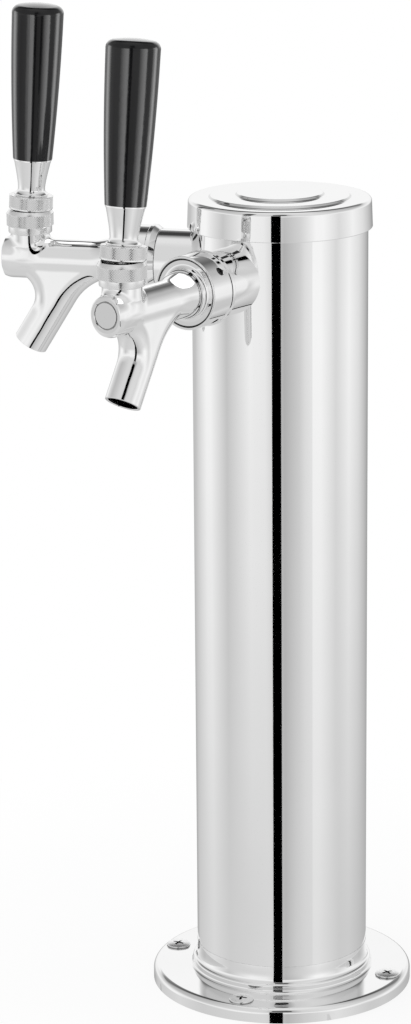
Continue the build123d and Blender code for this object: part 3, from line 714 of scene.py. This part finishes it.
def make_sleeve(side):
    """Tube whose back end is cut to the column's round."""
    turns = [2 * pi * k / SLEEVE_STEPS for k in range(SLEEVE_STEPS)]
    back, bore_back = [
        [sqrt(COLUMN_R ** 2 - (r * cos(t)) ** 2) for t in turns] for r in (SLEEVE_R, SLEEVE_BORE_R)]
    side_end = SLEEVE_FRONT - SLEEVE_EDGE
    rows = [(SLEEVE_R, [b + (side_end - b) * share for b in back], 1, 0) for share in np.linspace(0, 1, 7)]
    for a in np.linspace(0, pi / 2, 6):
        height = SLEEVE_FRONT - SLEEVE_EDGE * (1 - sin(a))
        rows.append((SLEEVE_R - SLEEVE_EDGE * (1 - cos(a)), [height] * SLEEVE_STEPS, cos(a), sin(a)))
    front = [SLEEVE_FRONT] * SLEEVE_STEPS
    rows += [
        (SLEEVE_R - SLEEVE_EDGE, front, 0, 1), (SLEEVE_BORE_R, front, 0, 1), (SLEEVE_BORE_R, front, -1, 0),
        (SLEEVE_BORE_R, bore_back, -1, 0), (SLEEVE_BORE_R, bore_back, 0, -1), (SLEEVE_R, back, 0, -1)]
    places, directions = [], []
    for radius, heights, radial, along in rows:
        places += [(radius * cos(t), radius * sin(t), h) for t, h in zip(turns, heights)]
        directions.append([(radial * cos(t), radial * sin(t), along) for t in turns])
    points, faces, normals = [], [], []
    numbers = merge_points(points, places, 5)
    for level, (low, high) in enumerate(zip(directions, directions[1:])):
        first = level * SLEEVE_STEPS
        for k in range(SLEEVE_STEPS):
            n = (k + 1) % SLEEVE_STEPS
            face = [numbers[first + i] for i in (k, n, n + SLEEVE_STEPS, k + SLEEVE_STEPS)]
            if len(set(face)) == 4:
                faces.append(face)
                normals += [low[k], low[n], high[n], high[k]]
    return mesh_object(side + "_turned_sleeve", points, faces, along_shank(side), normals)


def spanner_hole(turn):
    """Faces that fill a window in the nut's side with a bevelled blind hole."""
    half = NUT_HOLE_CELLS / 2
    walk = [i - half for i in range(NUT_HOLE_CELLS)]
    rim = [(i, -half) for i in walk] + [(half, i) for i in walk]
    rim = [(i * 2 * pi / NUT_STEPS * NUT_R, j * NUT_WINDOW / half) for i, j in rim + [(-i, -j) for i, j in rim]]
    edge = [atan2(rise, sideways) for sideways, rise in rim]
    outer = NUT_HOLE_R + NUT_HOLE_BEVEL
    points, normals_at = [], []
    out = Vector((cos(turn), sin(turn), 0))
    across = Vector((-sin(turn), cos(turn), 0))
    up = Vector((0, 0, 1))
    for sideways, rise in rim + [(outer * cos(a), outer * sin(a)) for a in edge]:
        a = turn + sideways / NUT_R
        points.append((NUT_R * cos(a), NUT_R * sin(a), NUT_MIDDLE + rise))
        normals_at.append((cos(a), sin(a), 0))

    def add(sideways, rise, depth, normal):
        sag = NUT_R - sqrt(NUT_R ** 2 - sideways ** 2) if depth < 0.5 else 0.0
        points.append(tuple(out * (NUT_R - sag - depth) + across * sideways + up * (NUT_MIDDLE + rise)))
        normals_at.append(tuple(normal))

    for radius, depth, slope in (
            (outer, 0.0, 0.7), (NUT_HOLE_R, NUT_HOLE_BEVEL, 0.7), (NUT_HOLE_R, NUT_HOLE_BEVEL, 0.0),
            (NUT_HOLE_R, 1.0, 0.0), (NUT_HOLE_R, 1.0, 1.0)):
        for a in edge:
            inward = -(across * cos(a) + up * sin(a))
            add(radius * cos(a), radius * sin(a), depth, inward * sqrt(1 - slope ** 2) + out * slope)
    add(0, 0, 1.25, out)
    faces, size = [], len(rim)
    for first in (0, 2 * size, 4 * size):
        for k in range(size):
            a, b = first + k, first + (k + 1) % size
            faces.append([a, b, b + size, a + size])
    faces += [[6 * size + k, 6 * size + (k + 1) % size, 7 * size] for k in range(size)]
    return points, faces, [normals_at[i] for face in faces for i in face]


def make_nut(side):
    """Coupling nut with spanner holes in its side and a fine groove round its dished front."""
    outline = rounded([
        (13.95, NUT_BACK, 0), (14.5, NUT_BACK, 0.2), (NUT_RIM_R, 55.3, 0.35), (NUT_RIM_R, 56.9, 0.15),
        (NUT_R, 57.2, 0.25), (NUT_R, NUT_FRONT, 0.45), (14.75, NUT_FRONT, 0.2), (14.45, 68.7, 0), (14.15, 68.7, 0),
        (13.85, 69.1, 0.15), (10.26, 69.0, 2.2), (10.26, 71.3, 0), (10.25, 64.0, 0), (13.95, 64.0, 0),
    ])
    side_start = max(i for i, p in enumerate(outline) if abs(p[0] - NUT_R) < 1e-4 and p[1] < NUT_MIDDLE)
    window = [(NUT_R, NUT_MIDDLE + NUT_WINDOW * (2 * i / NUT_HOLE_CELLS - 1)) for i in range(NUT_HOLE_CELLS + 1)]
    heights = {round(h, 6) for _, h in window}
    outline = outward(outline[:side_start + 1] + window + outline[side_start + 1:])
    holes = [round((NUT_HOLE_TURN + 360 / NUT_HOLE_COUNT * n) * NUT_STEPS / 360) for n in range(NUT_HOLE_COUNT)]
    fill = join_meshes([spanner_hole(2 * pi * hole / NUT_STEPS) for hole in holes])

    def in_window(level, k):
        ends = outline[level], outline[(level + 1) % len(outline)]
        if not all(abs(r - NUT_R) < 1e-6 and round(h, 6) in heights for r, h in ends):
            return False
        return any((k - hole + NUT_HOLE_CELLS // 2) % NUT_STEPS < NUT_HOLE_CELLS for hole in holes)

    # painted shade inside the spanner holes and in the fine groove of the front
    def painted_shade(x, y, z):
        radius = hypot(x, y)
        in_hole = abs(z - NUT_MIDDLE) < NUT_HOLE_R + 0.05 and 14.0 < radius < NUT_R - 0.3
        in_groove = 14.1 < radius < 14.5 and 68.65 < z < 68.75
        return 0.97 if in_hole or in_groove else 0.0

    return turned_piece(side + "_turned_nut", outline, along_shank(side), NUT_STEPS, in_window, fill, painted_shade)


def make_plug(side):
    """Plug in the nose, set in a fine groove."""
    front = PIVOT_R + NOSE_F
    outline = rounded([
        (0, front - PLUG_T, 0), (5.8, front - PLUG_T, 0), (5.8, front - 0.5, 0), (5.35, front - 0.5, 0),
        (5.3, front - 0.1, 0.12), (0, front - 0.1, 0),
    ])

    # painted shade in the groove round the plug
    def painted_shade(x, y, z):
        return 0.6 if z > front - 1 and hypot(x, y) > 5.32 else 0.0

    return turned_piece(side + "_turned_plug", outline, along_shank(side), steps=128, painted_shade=painted_shade)


finish_piece(make_cap(), "cap", "top_cap")
for side in TAP_TURN:
    for make, body, node in (
            (make_ferrule, side + "_lever", "_ferrule"), (make_sleeve, "tower", "_shank_sleeve"),
            (make_nut, "tower", "_coupling_nut"), (make_plug, "tower", "_nose_plug")):
        finish_piece(make(side), body, side + node)


# ---- base flange ----
FLANGE_R = 58.1
FLANGE_T = 6.8
FLANGE_EDGE_R = 2.8
FLANGE_STEPS = 256
COLLAR_R = 40.1
COLLAR_STEP_Z = 10.6
COLLAR_TOP_Z = 18.5
COLLAR_FOOT_R = 1.4
LINE_HOLE_R = 33.0
LINE_HOLE_T = 3.0
GASKET_GROOVE = (41.5, 47.0, 1.5)      # radii and depth
SCREW_HOLE = ((2.7, 0.0), (2.7, 3.9), (5.4, 6.5), (5.4, 6.8))
SCREW_HOLE_STEPS = 64
SCREW_RING_R = 50.6
SCREW_COUNT = 4
SCREW_TURN = 48.3          # degrees to the first screw
LEVEL_FACES = (             # radii, height, radius of the screw holes in it, and the way it faces
    ((FLANGE_R - FLANGE_EDGE_R, COLLAR_R + COLLAR_FOOT_R), FLANGE_T, SCREW_HOLE[-1][0], 1),
    ((FLANGE_R, GASKET_GROOVE[1]), 0, SCREW_HOLE[0][0], -1),
)


def screw_middles():
    turns = [radians(SCREW_TURN + 360 / SCREW_COUNT * k) for k in range(SCREW_COUNT)]
    return [(SCREW_RING_R * cos(t), SCREW_RING_R * sin(t)) for t in turns]


def flat_fill(loops, up):
    """Triangles that fill a level outline with holes, facing up or down."""
    bm = bmesh.new()
    edges = []
    for loop in loops:
        corners = [bm.verts.new(c) for c in loop]
        edges += [bm.edges.new((a, b)) for a, b in zip(corners, corners[1:] + corners[:1])]
    bmesh.ops.triangle_fill(bm, edges=edges, use_beauty=True, use_dissolve=False)
    bm.verts.index_update()
    bm.normal_update()
    faces = [[v.index for v in (f.verts if f.normal.z * up > 0 else reversed(f.verts))] for f in bm.faces]
    points = [tuple(v.co) for v in bm.verts]
    bm.free()
    return points, faces, [(0, 0, up)] * sum(len(f) for f in faces)


def screw_hole(x, y):
    """Wall of a countersunk hole."""
    parts, steps = [], SCREW_HOLE_STEPS
    for (r0, z0), (r1, z1) in zip(SCREW_HOLE, SCREW_HOLE[1:]):
        slope = atan2(r1 - r0, z1 - z0)
        faces = [[k, steps + k, steps + (k + 1) % steps, (k + 1) % steps] for k in range(steps)]
        turns = [2 * pi * j / steps for face in faces for j in (face[0], face[0], face[3], face[3])]
        normals = [(-cos(t) * cos(slope), -sin(t) * cos(slope), sin(slope)) for t in turns]
        parts.append((circle(r0, z0, steps, x, y) + circle(r1, z1, steps, x, y), faces, normals))
    return parts


def make_flange():
    """Flange and collar turned in one, with its level faces filled round the screw holes."""
    run_out = smooth_curve([
        (39.1, COLLAR_STEP_Z), (38.88, 10.9), (38.7, 11.24), (38.56, 11.62), (38.44, 12.02), (38.33, 12.6),
        (38.24, 13.55), (38.2, 14.6), (38.19, 16.0), (38.17, 17.5), (38.14, COLLAR_TOP_Z),
    ], 2)
    groove_in, groove_out, groove_top = GASKET_GROOVE
    outline = outward(rounded([
        (LINE_HOLE_R, 0, 0), (groove_in, 0, 0), (groove_in, groove_top, 0), (groove_out, groove_top, 0),
        (groove_out, 0, 0), (FLANGE_R, 0, 0), (FLANGE_R, FLANGE_T, FLANGE_EDGE_R), (COLLAR_R, FLANGE_T, COLLAR_FOOT_R),
        (COLLAR_R, COLLAR_STEP_Z, 0.99), *[(r, z, 0) for r, z in run_out],
        (38.12, COLLAR_TOP_Z, 0), (38.12, LINE_HOLE_T, 0), (LINE_HOLE_R, LINE_HOLE_T, 0),
    ], 6.0))
    filled = [{(round(r, 4), round(z, 4)) for r in radii} for radii, z, *_ in LEVEL_FACES]

    def level_face(level, k):
        ends = outline[level], outline[(level + 1) % len(outline)]
        return {(round(r, 4), round(z, 4)) for r, z in ends} in filled

    middles = screw_middles()
    parts = []
    for radii, height, hole_r, up in LEVEL_FACES:
        loops = [circle(r, height, FLANGE_STEPS) for r in radii]
        parts.append(flat_fill(loops + [circle(hole_r, height, SCREW_HOLE_STEPS, *m) for m in middles], up))
    for middle in middles:
        parts += screw_hole(*middle)
    return turned_piece("turned_flange", outline, TO_METRES, FLANGE_STEPS, level_face, join_meshes(parts))


finish_piece(make_flange(), "tower", "base_flange")


# ---- flange screws with cross recesses ----
HEAD_R = 5.3
HEAD_FOOT_Z = 6.8
HEAD_SIDE_Z = 7.65
HEAD_CROWN_Z = 8.1
SHANK_R = 2.4
SCREW_STEPS = 96
SCREW_TWISTS = (12.0, 71.0, 38.0, 55.0)    # how far each cross is turned, degrees
RECESS_HALF = 0.55         # half the width of a cross's arm
RECESS_REACH = 2.6
RECESS_TAPER = ((0.55, 0.92, 0.72), (1.5, 0.8, 0.42))      # depth, and shares of width and reach left there


def head_height(radius):
    """Height of the low oval crown."""
    rise = HEAD_CROWN_Z - HEAD_SIDE_Z
    curve = (HEAD_R ** 2 + rise ** 2) / (2 * rise)
    return HEAD_CROWN_Z - curve + sqrt(curve ** 2 - radius ** 2)


def cross_outline(half, reach):
    """Corners of a plus sign, anticlockwise from the right arm's lower corner."""
    turns = [pi / 2 * k for k in range(4)]
    return [(x * cos(t) - y * sin(t), x * sin(t) + y * cos(t))
            for t in turns for x, y in ((reach, -half), (reach, half), (half, half))]


def make_screw():
    """Oval head with a tapered cross-shaped socket, on a plain shank."""
    bm = bmesh.new()
    rings = [(SHANK_R - 0.3, 0.0), (SHANK_R, 0.3), (SHANK_R, 3.9), (HEAD_R, HEAD_FOOT_Z), (HEAD_R, HEAD_SIDE_Z - 0.15),
             (HEAD_R - 0.12, head_height(HEAD_R - 0.15))]
    rings += [(radius, head_height(radius)) for radius in (4.6, 3.9, 3.3)]
    rings = [[bm.verts.new(p) for p in circle(*ring, SCREW_STEPS)] for ring in rings]
    cross = cross_outline(RECESS_HALF, RECESS_REACH)
    loops = [[bm.verts.new((x, y, head_height(hypot(x, y)))) for x, y in cross]]
    for depth, width, reach in RECESS_TAPER:
        cross = cross_outline(RECESS_HALF * width, RECESS_REACH * reach)
        loops.append([bm.verts.new((x, y, HEAD_CROWN_Z - depth)) for x, y in cross])
    for a, b in [*zip(rings, rings[1:]), *zip(loops, loops[1:])]:
        for k in range(len(a)):
            n = (k + 1) % len(a)
            bm.faces.new((a[k], a[n], b[n], b[k]))
    bm.faces.new(rings[0][::-1])
    bm.faces.new(loops[-1])
    rims = [bm.edges.get((loop[k - 1], loop[k])) for loop in (rings[-1], loops[0]) for k in range(len(loop))]
    bmesh.ops.triangle_fill(bm, edges=rims, use_beauty=True, use_dissolve=False)
    bmesh.ops.recalc_face_normals(bm, faces=bm.faces[:])
    mesh = bpy.data.meshes.new("screw")
    bm.to_mesh(mesh)
    bm.free()
    return mesh


def screws_piece():
    screw = make_screw()
    faces = [tuple(p.vertices) for p in screw.polygons]
    middles, parts = screw_middles(), []
    for middle, twist in zip(middles, SCREW_TWISTS):
        place = Matrix.Translation((*middle, 0)) @ Matrix.Rotation(radians(twist), 4, "Z")
        parts.append(([place @ v.co for v in screw.vertices], faces, []))

    # painted shade inside each cross and on the side of each head
    def painted_shade(x, y, z):
        out = min(hypot(x - a, y - b) for a, b in middles)
        if out < RECESS_REACH and HEAD_SIDE_Z - 1.2 < z < head_height(out) - 0.1:
            return 0.9
        return 0.75 if out > HEAD_R - 0.1 and z < HEAD_SIDE_Z - 0.16 else 0.0

    return mesh_object("cross_head_screws", *join_meshes(parts)[:2], painted_shade=painted_shade)


finish_piece(screws_piece(), "tower", "flange_screws", "screw_steel")


# ---- studio ----
# Angles are in degrees, to the right of the view and above the horizon.
AZIMUTH_OF_VIEW = 68.98    # from -Y towards +X
MID_TABLE = (              # (angle, brightness) of the room a little below eye level
    (-180, 0.53), (-150, 0.57), (-115, 1.0), (-105, 1.0), (-75, 0.59), (-40, 0.95), (-20, 0.90), (5, 0.47),
    (25, 0.66), (45, 1.0), (55, 1.0), (78, 0.75), (102, 0.97), (125, 0.80), (165, 0.33), (180, 0.32),
)
LOW_TABLE = (              # the same further down
    (-180, 0.42), (-165, 0.42), (-150, 0.62), (-105, 0.75), (-75, 0.66), (-15, 0.73), (5, 0.51), (20, 0.65),
    (50, 0.81), (85, 0.65), (105, 0.66), (165, 0.46), (180, 0.46),
)
HIGH_TABLE = (             # and half way up to the ceiling
    (-180, 0.045), (-150, 0.06), (-125, 0.52), (-95, 0.54), (-75, 0.60), (-40, 0.72), (-18, 0.72), (5, 0.30),
    (20, 0.70), (45, 0.78), (65, 0.74), (85, 0.62), (105, 0.56), (125, 0.50), (150, 0.07), (180, 0.045),
)
GROUND_LEVEL = 0.66
HORIZON_LEVEL = 0.95
WALL_LEVELS = (0.72, 1.0)  # above the horizon, in front and behind
TROUGH_LEVEL = 0.27        # dark band over the wall behind
CEILING_LEVEL = 0.82
FLOOR_RINGS = (80, 160, 400, 1000, 3000)
FLOOR_STEPS = 96
KNOB_STRIPS = ((-31, 1, 1.15), (45, 1, 1.25), (108, 0, 1.15), (-112, 0, 0.8))      # angle, lean, strength
STRIP_LAYERS = ((17, 0.8), (14, 0.8), (11, 0.8), (8, 0.7), (5, 0.6))    # half width in degrees, radiance
STRIP_ELEVATION = -8
LAMP_DISTANCE = 1.5


def grey_ramp(n, share, table):
    """Brightness from a table of angles, for a share of the full turn."""
    ramp = n.add("ShaderNodeValToRGB", {"Fac": share})
    stops = ramp.color_ramp.elements
    while len(stops) < len(table):
        stops.new(0.5)
    for stop, (angle, level) in zip(stops, table):
        stop.position = (angle + 180) / 360
        stop.color = (level, level, level, 1)
    return ramp.outputs["Color"]


def make_world():
    """White to the eye; mirrors see a pale room with soft grey bands and one dark gap."""
    world = bpy.data.worlds.new("studio")
    bpy.context.scene.world = world
    world.use_nodes = True
    n = Nodes(world.node_tree)
    ray = n.add("ShaderNodeSeparateXYZ", {"Vector": n.add("ShaderNodeTexCoord").outputs["Generated"]}).outputs
    azimuth = n.math("ARCTAN2", ray["X"], n.math("MULTIPLY", ray["Y"], -1.0))
    turn = n.math("WRAP", n.math("SUBTRACT", azimuth, radians(AZIMUTH_OF_VIEW)), pi, -pi)
    share = n.span(turn, -pi, pi, 0.0, 1.0)
    height = n.math("ARCSINE", ray["Z"])

    def rise(low, high, start=0.0, end=1.0):
        return n.span(height, radians(low), radians(high), start, end)

    # brightness, from the ground up
    level = n.mixed(rise(-21.6, -12.5), grey_ramp(n, share, LOW_TABLE), grey_ramp(n, share, MID_TABLE))
    level = n.mixed(rise(-75, -30), GROUND_LEVEL, level)
    level = n.mixed(rise(-8, 2), level, HORIZON_LEVEL)
    behind = n.span(n.math("ABSOLUTE", turn), radians(130), radians(160), 0.0, 1.0)
    level = n.mixed(rise(4, 15), level, n.mixed(behind, *WALL_LEVELS))
    high = grey_ramp(n, share, HIGH_TABLE)
    level = n.mixed(n.mixed(behind, rise(16, 28), rise(23.5, 29)), level, n.mixed(behind, high, TROUGH_LEVEL))
    level = n.mixed(rise(31, 44), level, high)
    level = n.mixed(rise(58, 74), level, CEILING_LEVEL)

    # the dark gap in front: narrow low down, wide high up, hazy between, and gone near the ceiling
    centre = rise(33, 36, radians(-5), 0.0)
    reach = n.math("ADD", rise(-32, -24, radians(4), radians(6)), rise(33, 36, 0.0, radians(4)))
    gap = n.math("COMPARE", turn, centre, reach)
    gap = n.math("MULTIPLY", gap, rise(46, 52, 1.0, 0.0))
    haze = n.math("MULTIPLY", n.math("COMPARE", height, radians(28), radians(5.5)), 0.72)
    gap = n.math("MULTIPLY", gap, n.math("SUBTRACT", 1.0, haze))
    level = n.math("MULTIPLY", level, n.math("SUBTRACT", 1.0, gap))

    path = n.add("ShaderNodeLightPath").outputs
    room, soft, white = [
        n.add("ShaderNodeBackground", {"Color": colour}) for colour in (level, (0.8, 0.8, 0.8, 1), (1, 1, 1, 1))]
    lit = n.add("ShaderNodeMixShader", {0: path["Is Glossy Ray"], 1: soft.outputs[0], 2: room.outputs[0]})
    seen = n.add("ShaderNodeMixShader", {0: path["Is Camera Ray"], 1: lit.outputs[0], 2: white.outputs[0]})
    n.add("ShaderNodeOutputWorld", {"Surface": seen.outputs[0]})


def make_floor():
    """Pale ground that reads white to the eye and keeps a faint shadow under the part."""
    points, steps = [(0, 0, 0)], FLOOR_STEPS
    for radius in FLOOR_RINGS:
        points += circle(radius, 0, steps)
    faces = [(0, 1 + k, 1 + (k + 1) % steps) for k in range(steps)]
    for first in range(1, len(points) - steps, steps):
        faces += [(first + k, first + steps + k, first + steps + (k + 1) % steps, first + (k + 1) % steps)
                  for k in range(steps)]
    floor = mesh_object("studio_floor", points, faces)
    floor.location.z = -0.00002    # clear of the part's underside
    material, n = new_material("studio_floor")
    where = n.add("ShaderNodeTexCoord").outputs["Object"]
    away = n.add("ShaderNodeVectorMath", {0: where}, operation="LENGTH").outputs["Value"]
    path = n.add("ShaderNodeLightPath").outputs
    pale = n.add("ShaderNodeBsdfDiffuse", {"Color": (0.82, 0.82, 0.82, 1)})
    white = n.add("ShaderNodeEmission", {"Color": (1, 1, 1, 1)})
    share = n.math("MULTIPLY", path["Is Camera Ray"], n.span(away, 0.07, 0.30, 0.86, 1.0))
    mix = n.add("ShaderNodeMixShader", {0: share, 1: pale.outputs[0], 2: white.outputs[0]})
    n.add("ShaderNodeOutputMaterial", {"Surface": mix.outputs[0]})
    floor.data.materials.append(material)
    floor.visible_glossy = False


def area_light(name, azimuth, elevation, width, height, radiance, shows_in, distance=LAMP_DISTANCE):
    """A soft box that looks at the taps and shows only in some pieces."""
    light = bpy.data.lights.new(name, "AREA")
    light.shape = "RECTANGLE"
    light.size, light.size_y = width, height
    light.energy = pi * width * height * radiance
    lamp = new_object(light)
    a, e = radians(AZIMUTH_OF_VIEW + azimuth), radians(elevation)
    out = Vector((sin(a) * cos(e), -cos(a) * cos(e), sin(e)))
    target = Vector((0, 0, 0.3))
    lamp.location = target + out * distance
    lamp.rotation_euler = (-out).to_track_quat("-Z", "Y").to_euler()
    lamp.visible_camera = False
    lamp.light_linking.receiver_collection = shows_in


def make_lights():
    sun = bpy.data.lights.new("key", "SUN")
    sun.energy = 0.9
    sun.angle = radians(50)
    key = new_object(sun)
    key.rotation_euler = (radians(30), radians(-18), 0)
    key.visible_glossy = False
    knobs = bpy.data.collections.new("knob_highlights")
    bpy.context.scene.collection.children.link(knobs)
    castings = bpy.data.collections.new("castings")
    for side in TAP_TURN:
        knobs.objects.link(frame["nodes"][side + "_knob"])
        castings.objects.link(bpy.data.objects[side + "_cast_body"])
    for number, (azimuth, lean, strength) in enumerate(KNOB_STRIPS):
        for layer, (half, radiance) in enumerate(STRIP_LAYERS):
            middle = azimuth + lean * (STRIP_LAYERS[0][0] - half) * 0.8
            width = 2 * LAMP_DISTANCE * tan(radians(half))
            area_light("strip_%d_%d" % (number, layer), middle, STRIP_ELEVATION, width, 1.5,
                       radiance * strength, knobs, LAMP_DISTANCE + 0.01 * layer)
    area_light("knob_top", 180, 21, 2.0, 0.97, 0.45, knobs)
    area_light("bell_window", 133, 66, 2.4, 0.9, 1.2, castings)
    area_light("barrel_glow", 168, 29, 0.75, 0.29, 0.32, castings)


def make_camera():
    """The photograph's view: distance, height and small turns of the camera in radians, and its long lens."""
    distance, height = 1.565294, 0.640631
    down, yaw, roll = 0.2640, -0.0211, -0.0080
    around = Matrix.Rotation(radians(AZIMUTH_OF_VIEW), 3, "Z")
    ahead = Vector((sin(yaw) * cos(down), cos(yaw) * cos(down), -sin(down)))
    right = Vector((cos(yaw), -sin(yaw), 0))
    up = right.cross(ahead)
    right, up = cos(roll) * right + sin(roll) * up, cos(roll) * up - sin(roll) * right
    camera = new_object(bpy.data.cameras.new("camera"))
    axes = Matrix((right, up, -ahead)).transposed()
    camera.matrix_world = Matrix.Translation(around @ Vector((0, -distance, height))) @ (around @ axes).to_4x4()
    camera.data.sensor_width = 36.0
    camera.data.lens = 129.68
    bpy.context.scene.camera = camera


make_world()
make_floor()
make_lights()
make_camera()
bpy.context.scene.view_settings.view_transform = "Standard"
